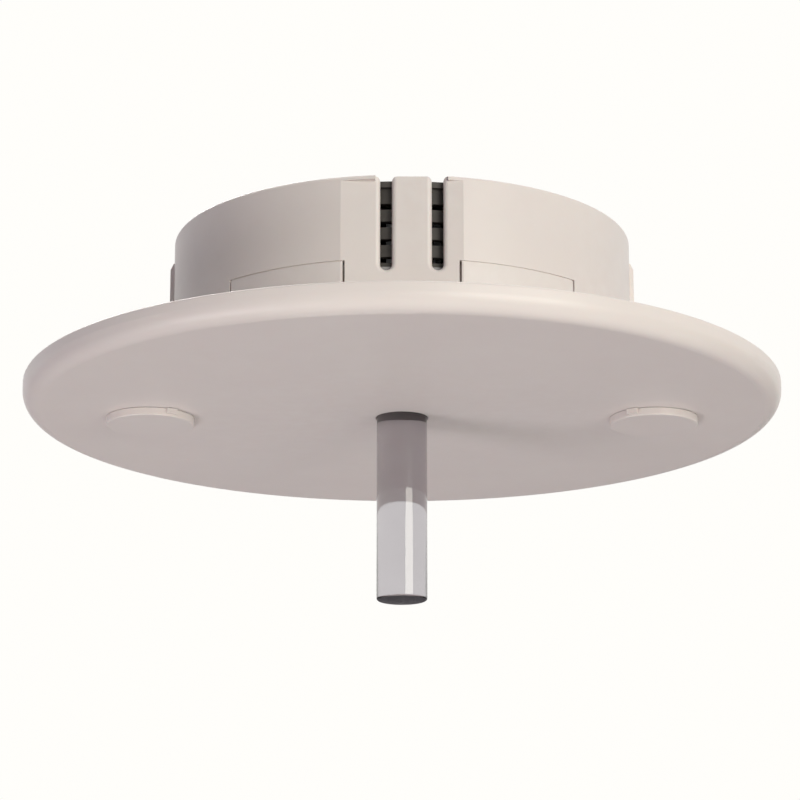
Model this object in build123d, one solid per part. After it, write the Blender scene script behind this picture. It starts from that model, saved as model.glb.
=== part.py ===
from build123d import *
from math import cos, radians, sin
import os

# Ceiling-void smoke detector on a round ceiling plate. Millimetres. The origin is the plate's
# centre in the plane of the ceiling's visible face. +Z goes up into the ceiling void, and -Y is
# the front. Angles run anticlockwise from +X, seen from above.

FRONT = -90
REAR = 90
SIDES = (0, 180)

# Ceiling plate: a shallow dish, open upwards, with a wide round to its rim
plate_d = 180.0
rim_round = 4.0
rim_top_round = 0.6
rim_land = 3.0
dish_depth = 6.3
plate_wall = 2.4

# Foam seal between the rim and its inner rib
seal_width = 7.0
seal_depth = 3.0
seal_gap = 0.1
rib_wall = 1.4
rib_top = -1.0

# Light guide: a clear rod that hangs through the plate
rod_d = 12.0
rod_drop = 50.5
rod_top = 5.5
rod_chamfer = 0.4
rod_clearance = 0.3
rod_running_fit = 0.06

# Ceiling clamps, one each side
clamp_side_gap = 0.55
screw_d = 4.0
screw_thread_pitch = 0.7
screw_end = 15.6
screw_head_d = 7.6
screw_head_height = 1.9
screw_clearance = 0.2
screw_fit = 0.05
drive_length = 4.4
drive_width = 0.9
drive_depth = 1.1
retainer_d = 8.0
retainer_thick = 0.6
nut_body_d = 5.6
nut_flange_d = 7.2
nut_flange = 0.7
arm_low = 9.6
arm_thick = 3.4
arm_boss_d = 7.8
arm_reach = 17.0
arm_tip_d = 6.0
arm_side_gap = 0.1
arm_fit = 0.05
tooth_width = 1.2
tooth_depth = 0.4
tooth_pitch = 2.4
tooth_count = 3
stop_wall = 1.8
stop_length = 6.0
stop_from_screw = 8.0

# Screw caps, pressed into the plate
cap_d = 21.0
cap_height = 1.9
cap_round = 0.4
cap_wall = 1.0
cap_seat_gap = 0.1
cap_leg_spread = 15.0
cap_leg_length = 3.4
cap_leg_thick = 1.2
cap_leg_rise = 4.2
cap_leg_gap = 0.3
cap_tab_width = 2.6
cap_tab_proud = 0.8
cap_tab_height = 1.2
cap_tab_angle = 58

# Base housing: the round tub on the plate
housing_d = 109.6
housing_wall = 3.0
housing_top = 36.0
housing_edge_round = 0.6
housing_floor_low = -1.0
housing_floor_thick = 2.4
facet_half_angle = 14.6
facet_lip = 1.0
slot_width = 2.6
slot_pitch = 11.6
slot_offset = 2.2
slot_low = 14.2
slot_corner = 1.1
slot_edge_round = 1.1
pad_width = 9.6
pad_proud = 0.75
pad_top = 30.8
pad_slope = 1.6
knockout_start = 13.9
knockout_end = 45.6
knockout_top = 16.2
knockout_slit = 0.55
knockout_groove = 0.3
knockout_web = 0.8
base_screw_from_wall = 7.8
base_screw_d = 3.0
base_screw_head_d = 5.6
base_screw_head = 1.6
base_screw_length = 6.0
base_boss_d = 8.0
base_screw_angles = (45, 135, 225, 315)

# Bayonet between the housing and the detector head
bayonet_angles = (0, 90, 180, 270)
keeper_half_angle = 8.0
lug_half_angle = 7.0
keeper_low = 10.6
keeper_high = 12.9
keeper_depth = 1.8
lug_low = 8.0
bayonet_gap = 0.3
head_side_gap = 0.3

# Head chassis and circuit board
chassis_thick = 2.0
skirt_wall = 2.0
skirt_gap = 0.4
board_side_gap = 2.6
board_thick = 1.6
board_standoff = 0.7
board_boss_d = 6.5
board_screw_from_edge = 7.0
board_screw_angles = (60, 120, 240, 300)
board_screw_d = 2.5
board_screw_head_d = 5.0
board_screw_head = 1.8
board_screw_bite = 2.1

# Guide cup, collar and return spring of the light guide
push_travel = 1.2
cup_d = 20.0
cup_bore = 16.6
cup_floor = 1.8
cup_lift = 0.5
cup_window = 5.0
cup_ear_d = 6.4
cup_ear_thick = 1.8
cup_ear_pitch = 26.0
cup_screw_d = 2.0
cup_screw_head_d = 4.0
cup_screw_head = 1.4
collar_d = 16.0
collar_thick = 1.5
collar_fit = 0.02
finger_width = 4.0
finger_end = 16.0
finger_pad = 3.0
finger_pad_rise = 0.9
spring_wire = 0.6
spring_mean_d = 14.4
spring_turns = 4
spring_end_gap = 0.05

# Parts on the board's underside
led_d = 5.0
led_flange_d = 5.8
led_flange = 1.0
led_drop = 3.4
switch_at = 14.5
switch_size = 6.0
switch_height = 3.0
plunger_d = 3.0
plunger_fit = 0.1
chip_size = (10.0, 7.0, 1.6)
chip_at = (0.0, -25.0)
capacitor_d = 6.3
capacitor_height = 5.7
capacitor_at = (-15.0, 13.0)
chip_resistor_size = (3.2, 1.6, 0.6)
chip_resistor_from_edge = 15.0
chip_resistor_angles = (48, 72, 96, 132, 228, 312)

# Terminal blocks on the housing floor
block_side_gap = 7.6
block_depth = 13.0
block_length = 33.0
block_height = 6.6
terminal_pitch = 11.0
terminal_places = (-1, 0, 1)
cage_size = (7.0, 6.5, 5.2)
cage_gap = 0.2
cage_floor = 1.0
wire_hole_d = 3.2
wire_hole_rise = 3.2
terminal_screw_d = 2.6
terminal_screw_head_d = 4.6
terminal_screw_head = 1.0
terminal_screw_length = 2.4
contact_width = 4.0
contact_thick = 0.4
contact_rise = 0.9
contact_inset = 1.0
contact_foot = 3.0
contact_ramp = 2.5
contact_crest = 2.5
blade_length = 9.0
blade_gap = 0.3

# Optical chamber
chamber_side_gap = 6.8
chamber_base_thick = 1.6
chamber_top = 31.2
chamber_roof = 1.2
vane_count = 24
vane_from_screen = 6.4
vane_length = 5.4
vane_thick = 1.0
vane_bend = 35.0
vane_gap = 0.1
optic_axis_z = 22.0
optic_angles = {"emitter": 150, "receiver": 30}
holder_from_vanes = 5.0
holder_length = 12.0
holder_width = 9.0
holder_height = 9.8
optic_d = 5.0
optic_length = 8.0
optic_fit = 0.02
optic_setback = 2.0
lens_thick = 1.6
screen_from_edge = 0.6
screen_wall = 0.4
screen_top = 31.8
screen_roof = 0.6
screen_slots = 48
screen_slot_width = 3.6
screen_slot_rows = 3
screen_bar = 0.9

# Inlet grille and top cover
grille_step = 0.9
grille_wall = 1.8
grille_flange = 1.4
grille_top = 35.4
grille_gap = 1.4
grille_pitch = 4.2
grille_gap_count = 4
grille_first_gap = 17.1
grille_posts = 18
grille_post_width = 2.4
grille_post_depth = 1.6
cover_side_gap = 0.4
cover_thick = 2.0
cover_round = 0.8
cover_ledge = 1.8
cover_ledge_thick = 1.0
grip_length = 58.0
grip_width = 9.0
grip_height = 3.5
grip_round = 1.4
cover_groove_from_edge = 7.4
cover_groove_width = 1.6
cover_groove_depth = 0.5

# Levels and sizes that follow from the ones above
plate_floor = plate_wall - dish_depth
housing_bore = housing_d - 2 * housing_wall
housing_floor = housing_floor_low + housing_floor_thick
facet_from_axis = housing_d / 2 * cos(radians(facet_half_angle))
chassis_low = keeper_high + bayonet_gap
chassis_top = chassis_low + chassis_thick
chassis_d = housing_bore - 2 * head_side_gap
skirt_d = housing_bore - 2 * (keeper_depth + skirt_gap)
board_d = skirt_d - 2 * (skirt_wall + board_side_gap)
board_screw_circle_d = board_d - 2 * board_screw_from_edge
chip_resistor_circle_d = board_d - 2 * chip_resistor_from_edge
base_screw_circle_d = housing_bore - 2 * base_screw_from_wall
block_from_axis = skirt_d / 2 - skirt_wall - block_side_gap - block_depth
grille_d = chassis_d - 2 * grille_step
grille_bore = grille_d - 2 * grille_wall
cover_d = grille_bore - 2 * cover_side_gap
cover_groove_d = cover_d - 2 * cover_groove_from_edge
chamber_base_d = grille_bore - 2 * chamber_side_gap
screen_d = chamber_base_d - 2 * screen_from_edge
vane_circle_d = screen_d - 2 * vane_from_screen
holder_inner = vane_circle_d / 2 - holder_from_vanes - holder_length
board_top = chassis_low - board_standoff
board_low = board_top - board_thick
cup_low = housing_floor + cup_lift
cup_seat = cup_low + cup_floor
collar_low = rod_top - collar_thick
nut_low = arm_low - arm_side_gap - nut_flange
nut_high = arm_low + arm_thick + arm_side_gap + nut_flange
clamp_x = housing_d / 2 + pad_proud + arm_boss_d / 2 + clamp_side_gap
block_top = housing_floor + block_height
base_screw_bottom = housing_floor - base_screw_length
chamber_floor = chassis_top + chamber_base_thick
cover_low = housing_top - cover_thick

STANDING = (Align.CENTER, Align.CENTER, Align.MIN)
OVERCUT = 1.0


def polar(radius, angle):
    """The point at this radius and angle about the axis."""
    return (radius * cos(radians(angle)), radius * sin(radians(angle)))


def disc(diameter, low, high, at=(0, 0)):
    """A round solid between two levels."""
    return Pos(at[0], at[1], low) * Cylinder(diameter / 2, high - low, align=STANDING)


def ring(outer_d, inner_d, low, high, at=(0, 0)):
    """A round solid with a coaxial hole."""
    return disc(outer_d, low, high, at) - disc(inner_d, low - OVERCUT, high + OVERCUT, at)


def block(size_x, size_y, low, high, at=(0, 0), turn=0):
    """A rectangular solid between two levels."""
    standing = Box(size_x, size_y, high - low, align=STANDING)
    return Pos(at[0], at[1], low) * Rot(0, 0, turn) * standing


def sector(outer_d, inner_d, low, high, middle, half_angle):
    """The part of a ring within half_angle of the middle angle."""
    reach = outer_d / cos(radians(half_angle))
    corners = [(0, 0), polar(reach, middle - half_angle), polar(reach, middle + half_angle)]
    wedge = Pos(0, 0, low) * extrude(make_face(Polyline(*corners, close=True)), high - low)
    return ring(outer_d, inner_d, low, high) & wedge


def profile_xz(points):
    """A closed straight-sided outline in the XZ plane."""
    return Plane.XZ * make_face(Polyline(*points, close=True))


def joined(solids):
    """One shape of all these solids."""
    first, *rest = solids
    return first.fuse(*rest) if rest else first


def group(solids):
    """Separate solids that share one node."""
    return Compound([solid.solid() for solid in solids])


# ---------------------------------------------------------------- ceiling plate


def plate_outline():
    """Half the plate's cross-section: underside, round rim, seal channel and floor."""
    rim_r = plate_d / 2
    land_r = rim_r - rim_land
    rib_r = land_r - seal_width - 2 * seal_gap
    underside = Line((0, -dish_depth), (rim_r - rim_round, -dish_depth))
    corner = RadiusArc(underside @ 1, (rim_r, rim_round - dish_depth), -rim_round)
    edge = Line(corner @ 1, (rim_r, -rim_top_round))
    top_corner = RadiusArc(edge @ 1, (rim_r - rim_top_round, 0), -rim_top_round)
    inside = Polyline(
        top_corner @ 1,
        (land_r, 0),
        (land_r, -seal_depth),
        (rib_r, -seal_depth),
        (rib_r, rib_top),
        (rib_r - rib_wall, rib_top),
        (rib_r - rib_wall, plate_floor),
        (0, plate_floor),
        (0, -dish_depth),
    )
    return make_face(Wire([underside, corner, edge, top_corner, *inside.edges()]))


def ceiling_plate():
    """The dished plate, with its seal channel, bosses, cap slots and clamp stops."""
    plate = revolve(Plane.XZ * plate_outline(), Axis.Z)
    locator_d = housing_bore - 2 * head_side_gap
    plate += ring(locator_d, locator_d - 2 * rib_wall, plate_floor, plate_floor + rib_wall)
    for at in base_screw_places():
        plate += disc(base_boss_d, plate_floor, housing_floor_low, at)
        plate -= disc(base_screw_d + 2 * screw_fit, base_screw_bottom, housing_floor_low, at)
    plate -= disc(rod_d + 2 * rod_clearance, -dish_depth - OVERCUT, plate_floor + OVERCUT)
    for side in (1, -1):
        plate = plate + clamp_stop(side) - clamp_screw_hole(side)
        for end in (1, -1):
            plate -= cap_leg_slot(side, end)
    return plate


def base_screw_places():
    """The centres of the screws that hold the housing to the plate."""
    return [polar(base_screw_circle_d / 2, angle) for angle in base_screw_angles]


def clamp_stop(side):
    """The rib that stops a clamp arm when it points straight outwards."""
    x = side * (clamp_x + stop_from_screw)
    offset = arm_boss_d / 2 + bayonet_gap + stop_wall / 2
    return block(stop_length, stop_wall, plate_floor, arm_low + arm_thick, (x, side * offset))


def clamp_screw_hole(side):
    """The countersunk hole for a clamp screw."""
    at = (side * clamp_x, 0)
    through = disc(screw_d + 2 * screw_clearance, -dish_depth, plate_floor + OVERCUT, at)
    gap = screw_clearance
    sink = Cone(
        screw_head_d / 2 + gap, screw_d / 2 + gap, screw_head_height, align=STANDING
    )
    return through + Pos(*at, -dish_depth) * sink


def ceiling_seal():
    """The foam ring that the rim presses against the ceiling."""
    outer_d = plate_d - 2 * (rim_land + seal_gap)
    return ring(outer_d, outer_d - 2 * seal_width, -seal_depth, 0)


# ---------------------------------------------------------------- ceiling clamps


def clamp_screw(side):
    """A countersunk screw, threaded over its shank, with a cross drive."""
    at = (side * clamp_x, 0)
    head = Cone(screw_head_d / 2, screw_d / 2, screw_head_height, align=STANDING)
    screw = Pos(*at, -dish_depth) * head + disc(screw_d, -dish_depth, screw_end, at)
    tip = screw.edges().filter_by(GeomType.CIRCLE).sort_by(Axis.Z)[-1]
    screw = chamfer(tip, screw_thread_pitch)
    for turn in (0, 90):
        slot = (drive_length, drive_width)
        screw -= block(*slot, -dish_depth - OVERCUT, drive_depth - dish_depth, at, turn)
    return screw


def clamp_retainer(side):
    """The ring on the shank that keeps the screw in the plate."""
    low = plate_floor + bayonet_gap
    at = (side * clamp_x, 0)
    return ring(retainer_d, screw_d + 2 * screw_fit, low, low + retainer_thick, at)


def clamp_nut(side):
    """The flanged brass nut that climbs the screw and carries the arm."""
    at = (side * clamp_x, 0)
    nut = disc(nut_body_d, nut_low, nut_high, at)
    nut += disc(nut_flange_d, nut_low, nut_low + nut_flange, at)
    nut += disc(nut_flange_d, nut_high - nut_flange, nut_high, at)
    return nut - disc(screw_d + 2 * screw_fit, nut_low - OVERCUT, nut_high + OVERCUT, at)


def clamp_arm(side):
    """The arm that swings out over the ceiling board, tucked along the housing."""
    tip_r = arm_tip_d / 2
    outline = make_hull(
        [
            *Circle(arm_boss_d / 2).edges(),
            *(Pos(arm_reach, 0) * Circle(tip_r)).edges(),
        ]
    )
    arm = Pos(0, 0, arm_low) * extrude(outline, arm_thick)
    bore_d = nut_body_d + 2 * arm_fit
    arm -= disc(bore_d, arm_low - OVERCUT, arm_low + arm_thick + OVERCUT)
    for tooth in range(tooth_count):
        at = (arm_reach - tooth * tooth_pitch, 0)
        arm -= block(tooth_width, arm_boss_d, arm_low - OVERCUT, arm_low + tooth_depth, at)
    return Pos(side * clamp_x, 0, 0) * Rot(0, 0, -90 * side) * arm


# ---------------------------------------------------------------- screw caps


def cap_leg_slot(side, end):
    """The slot in the plate that one spring leg of a cap passes through."""
    at = (side * clamp_x, end * cap_leg_spread / 2)
    size = (cap_leg_length + 2 * cap_leg_gap, cap_leg_thick + 2 * cap_leg_gap)
    return block(*size, -dish_depth - OVERCUT, plate_floor + OVERCUT, at)


def screw_cap(side):
    """A round cap over a clamp screw, with two spring legs and a pry tab."""
    at = (side * clamp_x, 0)
    top = -dish_depth - cap_seat_gap
    low = -dish_depth - cap_height
    cap = disc(cap_d, low, top, at)
    outer_edge = cap.edges().filter_by(GeomType.CIRCLE).sort_by(Axis.Z)[0]
    cap = fillet(outer_edge, cap_round)
    cap -= disc(cap_d - 4 * cap_wall, low + cap_wall, top + OVERCUT, at)
    for end in (1, -1):
        leg_at = (at[0], end * cap_leg_spread / 2)
        size = (cap_leg_length, cap_leg_thick)
        cap += block(*size, low + cap_wall / 2, cap_leg_rise - dish_depth, leg_at)
    angle = FRONT + side * (cap_tab_angle - 90)
    reach = cap_d / 2 + cap_tab_proud / 2 - cap_wall / 2
    tab_x, tab_y = polar(reach, angle)
    tab = block(cap_tab_proud + cap_wall, cap_tab_width, top - cap_tab_height, top, turn=angle)
    return cap + Pos(at[0] + tab_x, tab_y, 0) * tab


# ---------------------------------------------------------------- base housing


def facet_cut(angle):
    """What is cut from the round wall to leave one flat facet, below a thin lip."""
    depth = housing_d / 2 * (1 - cos(radians(facet_half_angle))) + OVERCUT
    at = (0, -facet_from_axis - depth / 2)
    below = block(housing_d, depth, plate_floor, housing_top - facet_lip, at)
    rib = block(slot_pitch, depth, plate_floor, housing_top + OVERCUT, (slot_offset, at[1]))
    return Rot(0, 0, angle - FRONT) * (below + rib)


def slot_outline():
    """A vent slot seen from the front: a round foot and an open, rounded mouth."""
    half = slot_width / 2
    foot = slot_low + half
    shoulder = housing_top - slot_corner
    wide = half + slot_corner
    left = Line((-half, foot), (-half, shoulder))
    bottom = ThreePointArc((half, foot), (0, slot_low), (-half, foot))
    mouth_left = RadiusArc(left @ 1, (-wide, housing_top), -slot_corner)
    over = housing_top + OVERCUT
    lid = Polyline((-wide, housing_top), (-wide, over), (wide, over), (wide, housing_top))
    mouth_right = RadiusArc((wide, housing_top), (half, shoulder), -slot_corner)
    right = Line((half, shoulder), (half, foot))
    return make_face(Wire([left, mouth_left, *lid.edges(), mouth_right, right, bottom]))


def slot_edge_cut():
    """What rounds a vent slot's outer edges, up both sides and round its foot."""
    half = slot_width / 2
    wide = half + slot_edge_round
    deep = slot_edge_round - facet_from_axis
    arc = CenterArc((wide, deep), slot_edge_round, 180, 90)
    rest = Polyline(arc @ 1, (wide, -housing_d), (0, -housing_d), (0, deep), arc @ 0)
    profile = make_face(Wire([arc, *rest.edges()]))
    upright = extrude(profile + mirror(profile, Plane.YZ), housing_top)
    return Pos(0, 0, slot_low + half) * (upright + revolve(profile, Axis.Y))


def slot_cuts(angle):
    """What is cut for the two vent slots of one facet."""
    depth = housing_wall + 3 * OVERCUT
    through = Pos(0, depth - housing_d / 2 - OVERCUT, 0) * extrude(Plane.XZ * slot_outline(), depth)
    cuts = []
    for x in (slot_offset - slot_pitch / 2, slot_offset + slot_pitch / 2):
        placing = Rot(0, 0, angle - FRONT) * Pos(x, 0, 0)
        cuts += [placing * through, placing * slot_edge_cut()]
    return cuts


def side_pad():
    """The flat raised pad on one side of the housing, with a sloped top."""
    face = housing_d / 2 + pad_proud
    root = housing_d / 2 - housing_wall / 2
    outline = [
        (root, plate_floor),
        (face, plate_floor),
        (face, pad_top - pad_slope),
        (housing_d / 2, pad_top),
        (root, pad_top),
    ]
    return Pos(0, pad_width / 2, 0) * extrude(profile_xz(outline), pad_width)


def knockout_cuts(facing, hand):
    """The slits and thinned line round one break-out cable entry."""
    outer = housing_d + 2 * OVERCUT
    middle = facing + hand * (knockout_start + knockout_end) / 2
    half = (knockout_end - knockout_start) / 2
    cuts = []
    for edge in (knockout_start, knockout_end):
        angle = facing + hand * edge
        at = polar(housing_d / 2 - housing_wall / 2, angle)
        size = (housing_wall + 2 * OVERCUT, knockout_slit)
        cuts.append(block(*size, plate_floor - OVERCUT, knockout_top, at, angle))
    low = knockout_top - knockout_groove
    outer_line = (outer, housing_d - 2 * knockout_groove, low, knockout_top)
    inner_line = (housing_d - 2 * (knockout_groove + knockout_web), housing_bore - OVERCUT)
    cuts.append(sector(*outer_line, middle, half))
    cuts.append(sector(*inner_line, low - knockout_groove, knockout_top, middle, half))
    return cuts


def base_housing():
    """The tub: wall, floor, facets with vent slots, pads, knock-outs and keepers."""
    shell = ring(housing_d, housing_bore, plate_floor, housing_top)
    top_edge = shell.edges().filter_by(GeomType.CIRCLE).group_by(Axis.Z)[-1]
    shell = fillet(top_edge.sort_by(SortBy.RADIUS)[-1], housing_edge_round)
    for angle in (FRONT, REAR):
        shell -= facet_cut(angle)
        for cut in slot_cuts(angle):
            shell -= cut
    for angle in SIDES:
        shell += Rot(0, 0, angle) * side_pad()
    floor = disc(housing_bore + housing_wall, housing_floor_low, housing_floor)
    floor -= disc(rod_d + 4 * rod_clearance, housing_floor_low - OVERCUT, housing_floor + OVERCUT)
    for at in base_screw_places():
        hole_d = base_screw_d + 2 * screw_clearance
        floor -= disc(hole_d, housing_floor_low - OVERCUT, housing_floor + OVERCUT, at)
    shell += floor
    for angle in bayonet_angles:
        inner_d = housing_bore - 2 * keeper_depth
        outer_d = housing_bore + housing_wall / 2
        span = (keeper_low, keeper_high, angle, keeper_half_angle)
        shell += sector(outer_d, inner_d, *span)
    for facing in (FRONT, REAR):
        for hand in (1, -1):
            for cut in knockout_cuts(facing, hand):
                shell -= cut
    return shell


def base_screws():
    """The four pan-head screws that hold the housing to the plate."""
    screws = []
    for at in base_screw_places():
        head = disc(base_screw_head_d, housing_floor, housing_floor + base_screw_head, at)
        screws.append(head + disc(base_screw_d, base_screw_bottom, housing_floor, at))
    return group(screws)


# ---------------------------------------------------------------- terminals


def terminal_places_on(side):
    """The centres of the terminals of one block."""
    x = side * (block_from_axis + block_depth / 2)
    return [(x, place * terminal_pitch) for place in terminal_places]


def terminal_block(side):
    """An insulating block with three pockets and their wire entries."""
    x = side * (block_from_axis + block_depth / 2)
    body = block(block_depth, block_length, housing_floor, block_top, (x, 0))
    body = chamfer(body.edges().filter_by(Axis.Z), cage_floor)
    pocket = (cage_size[0] + 2 * cage_gap, cage_size[1] + 2 * cage_gap)
    low = housing_floor + cage_floor
    for at in terminal_places_on(side):
        body -= block(*pocket, low, block_top + OVERCUT, at)
        entry = Rot(0, 90, 0) * Cylinder(wire_hole_d / 2, block_depth)
        body -= Pos(at[0] + side * block_depth / 2, at[1], low + wire_hole_rise) * entry
    return body


def terminal_clamps():
    """The six brass cages that hold the wires."""
    cages = []
    low = housing_floor + cage_floor
    for side in (1, -1):
        for at in terminal_places_on(side):
            cage = block(cage_size[0], cage_size[1], low, low + cage_size[2], at)
            hole = Rot(0, 90, 0) * Cylinder(wire_hole_d / 2, block_depth)
            cage -= Pos(at[0], at[1], low + wire_hole_rise - cage_gap) * hole
            bore_d = terminal_screw_d + 2 * screw_fit
            cage -= disc(bore_d, low + wire_hole_rise, low + cage_size[2] + OVERCUT, at)
            cages.append(cage)
    return group(cages)


def terminal_screws():
    """The six slotted screws of the terminals."""
    screws = []
    seat = housing_floor + cage_floor + cage_size[2]
    top = seat + terminal_screw_head
    for side in (1, -1):
        for at in terminal_places_on(side):
            screw = disc(terminal_screw_head_d, seat, top, at)
            screw += disc(terminal_screw_d, seat - terminal_screw_length, seat, at)
            slot = (terminal_screw_head_d + OVERCUT, drive_width)
            screw -= block(*slot, top - terminal_screw_head / 2, top + OVERCUT, at)
            screws.append(screw)
    return group(screws)


def contact_springs():
    """The four leaf contacts on the blocks that the head's blades meet."""
    springs = []
    start = block_from_axis + contact_inset
    bend = start + contact_foot
    crest = bend + contact_ramp
    path = [
        (start, 0),
        (bend, 0),
        (crest, contact_rise),
        (crest + contact_crest, contact_rise),
        (crest + contact_crest + contact_ramp, contact_thick / 2),
    ]
    upper = [(x, z + contact_thick) for x, z in reversed(path)]
    outline = [(x, block_top + z) for x, z in path + upper]
    for side in (1, -1):
        for end in (1, -1):
            leaf = extrude(profile_xz(outline), contact_width)
            y = end * terminal_pitch / 2 + contact_width / 2
            if side < 0:
                y -= contact_width
            turn = 0 if side > 0 else 180
            springs.append(Pos(0, y, 0) * Rot(0, 0, turn) * leaf)
    return group(springs)


# ---------------------------------------------------------------- head chassis


def board_screw_places():
    """The centres of the screws that hold the board to the chassis."""
    return [polar(board_screw_circle_d / 2, angle) for angle in board_screw_angles]


def cup_screw_places():
    """The centres of the screws that hold the guide cup."""
    return [(0, end * cup_ear_pitch / 2) for end in (1, -1)]


def head_chassis():
    """The disc that carries the head, with its skirt and bayonet lugs."""
    chassis = disc(chassis_d, chassis_low, chassis_top)
    chassis += ring(skirt_d, skirt_d - 2 * skirt_wall, lug_low, chassis_low)
    for angle in bayonet_angles:
        span = (lug_low, keeper_low - bayonet_gap, angle, lug_half_angle)
        chassis += sector(chassis_d, skirt_d - skirt_wall, *span)
    bite = board_screw_bite - board_standoff
    for at in board_screw_places() + cup_screw_places():
        chassis += disc(board_boss_d, board_top, chassis_low, at)
    for at in board_screw_places():
        hole_d = board_screw_d + 2 * screw_fit
        chassis -= disc(hole_d, board_top - OVERCUT, chassis_low + bite, at)
    for at in cup_screw_places():
        hole_d = cup_screw_d + 2 * screw_fit
        chassis -= disc(hole_d, board_top - OVERCUT, chassis_low + bite, at)
    return chassis


def circuit_board():
    """The round board under the chassis."""
    board = disc(board_d, board_low, board_top)
    for at in board_screw_places():
        hole_d = board_screw_d + 2 * screw_clearance
        board -= disc(hole_d, board_low - OVERCUT, board_top + OVERCUT, at)
    for at in cup_screw_places():
        hole_d = cup_screw_d + 2 * screw_clearance
        board -= disc(hole_d, board_low - OVERCUT, board_top + OVERCUT, at)
    return board


def board_screws():
    """The screws that hold the board, heads down."""
    screws = []
    for at in board_screw_places():
        head = disc(board_screw_head_d, board_low - board_screw_head, board_low, at)
        screws.append(head + disc(board_screw_d, board_low, board_top + board_screw_bite, at))
    return group(screws)


def contact_blades():
    """The four blades under the board that meet the leaf contacts."""
    low = block_top + contact_rise + contact_thick + blade_gap
    x = block_from_axis + block_depth / 2
    places = [(a * x, b * terminal_pitch / 2) for a in (1, -1) for b in (1, -1)]
    return group([block(blade_length, contact_width, low, board_low, at) for at in places])


def controller_chip():
    """The detector's processor, under the board."""
    body = block(chip_size[0], chip_size[1], board_low - chip_size[2], board_low, chip_at)
    return chamfer(body.faces().sort_by(Axis.Z)[0].edges(), contact_thick / 2)


def capacitor():
    """The storage capacitor, a can under the board."""
    can = disc(capacitor_d, board_low - capacitor_height, board_low, capacitor_at)
    end = can.edges().filter_by(GeomType.CIRCLE).sort_by(Axis.Z)[0]
    return fillet(end, contact_thick)


def chip_resistors():
    """The small parts round the board's underside."""
    parts = []
    for angle in chip_resistor_angles:
        at = polar(chip_resistor_circle_d / 2, angle)
        size = chip_resistor_size
        parts.append(block(size[0], size[1], board_low - size[2], board_low, at, angle))
    return group(parts)


# ---------------------------------------------------------------- light guide and test switch


def light_guide():
    """The clear rod."""
    rod = disc(rod_d, -rod_drop, rod_top)
    return chamfer(rod.edges().filter_by(GeomType.CIRCLE), rod_chamfer)


def guide_collar():
    """The collar on the rod's head, with the finger that works the test switch."""
    collar = disc(collar_d, collar_low, rod_top)
    collar += block(finger_end, finger_width, collar_low, rod_top, (finger_end / 2, 0))
    pad_x = finger_end - finger_pad / 2
    collar += block(finger_pad, finger_width, rod_top, rod_top + finger_pad_rise, (pad_x, 0))
    bore_d = rod_d + 2 * collar_fit
    return collar - disc(bore_d, collar_low - OVERCUT, rod_top + OVERCUT)


def return_spring():
    """The coil spring that holds the light guide down."""
    inset = spring_wire / 2 + spring_end_gap
    length = board_low - rod_top - 2 * inset
    path = Helix(length / spring_turns, length, spring_mean_d / 2)
    section = Plane(origin=path @ 0, z_dir=path % 0) * Circle(spring_wire / 2)
    coil = sweep(section, path=path, is_frenet=True)
    return Pos(0, 0, rod_top + inset) * coil


def guide_cup():
    """The cup under the board in which the rod slides."""
    cup = disc(cup_d, cup_low, board_low)
    cup -= disc(cup_bore, cup_seat, board_low + OVERCUT)
    cup -= disc(rod_d + 2 * rod_running_fit, cup_low - OVERCUT, cup_seat + OVERCUT)
    for at in cup_screw_places():
        ear = disc(cup_ear_d, board_low - cup_ear_thick, board_low, at)
        web_y = at[1] * cup_d / cup_ear_pitch
        ear += block(cup_ear_d, cup_ear_d, board_low - cup_ear_thick, board_low, (0, web_y))
        ear -= disc(cup_bore, board_low - cup_ear_thick - OVERCUT, board_low + OVERCUT)
        hole_d = cup_screw_d + 2 * screw_clearance
        ear -= disc(hole_d, board_low - cup_ear_thick - OVERCUT, board_low + OVERCUT, at)
        cup += ear
    window = block(cup_d, cup_window, cup_seat, board_low + OVERCUT, (cup_d / 2, 0))
    return cup - window


def guide_screws():
    """The two screws through the guide cup's ears."""
    screws = []
    seat = board_low - cup_ear_thick
    for at in cup_screw_places():
        head = disc(cup_screw_head_d, seat - cup_screw_head, seat, at)
        screws.append(head + disc(cup_screw_d, seat, board_top + board_screw_bite, at))
    return group(screws)


def indicator_led():
    """The indicator over the rod's head, dome down."""
    dome_low = board_low - led_drop
    dome_centre = dome_low + led_d / 2
    led = disc(led_d, dome_centre, board_low)
    led += Pos(0, 0, dome_centre) * Sphere(led_d / 2)
    led += disc(led_flange_d, board_low - led_flange, board_low)
    return led & disc(led_flange_d, dome_low, board_low)


def test_switch():
    """The push switch beside the light guide."""
    at = (switch_at, 0)
    body = block(switch_size, switch_size, board_low - switch_height, board_low, at)
    well_d = plunger_d + 2 * plunger_fit
    well_top = board_low - switch_height + push_travel + bayonet_gap
    return body - disc(well_d, board_low - switch_height - OVERCUT, well_top, at)


def switch_plunger():
    """The switch's own button."""
    body_low = board_low - switch_height
    low = rod_top + finger_pad_rise + blade_gap
    return disc(plunger_d, low, body_low + bayonet_gap / 2, (switch_at, 0))


# ---------------------------------------------------------------- optical chamber


def optic_holder(angle):
    """A block with a level bore that points at the chamber's middle."""
    x, y = polar(holder_inner + holder_length / 2, angle)
    high = chamber_floor + holder_height
    body = block(holder_length, holder_width, chamber_floor, high, (x, y), angle)
    bore = Cylinder(optic_d / 2 + optic_fit, holder_length + 2 * OVERCUT)
    return body - Pos(x, y, optic_axis_z) * Rot(0, 0, angle) * Rot(0, 90, 0) * bore


def chamber_base():
    """The chamber's floor, with the two optic holders."""
    base = disc(chamber_base_d, chassis_top, chamber_floor)
    for angle in optic_angles.values():
        base += optic_holder(angle)
    return base


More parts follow.
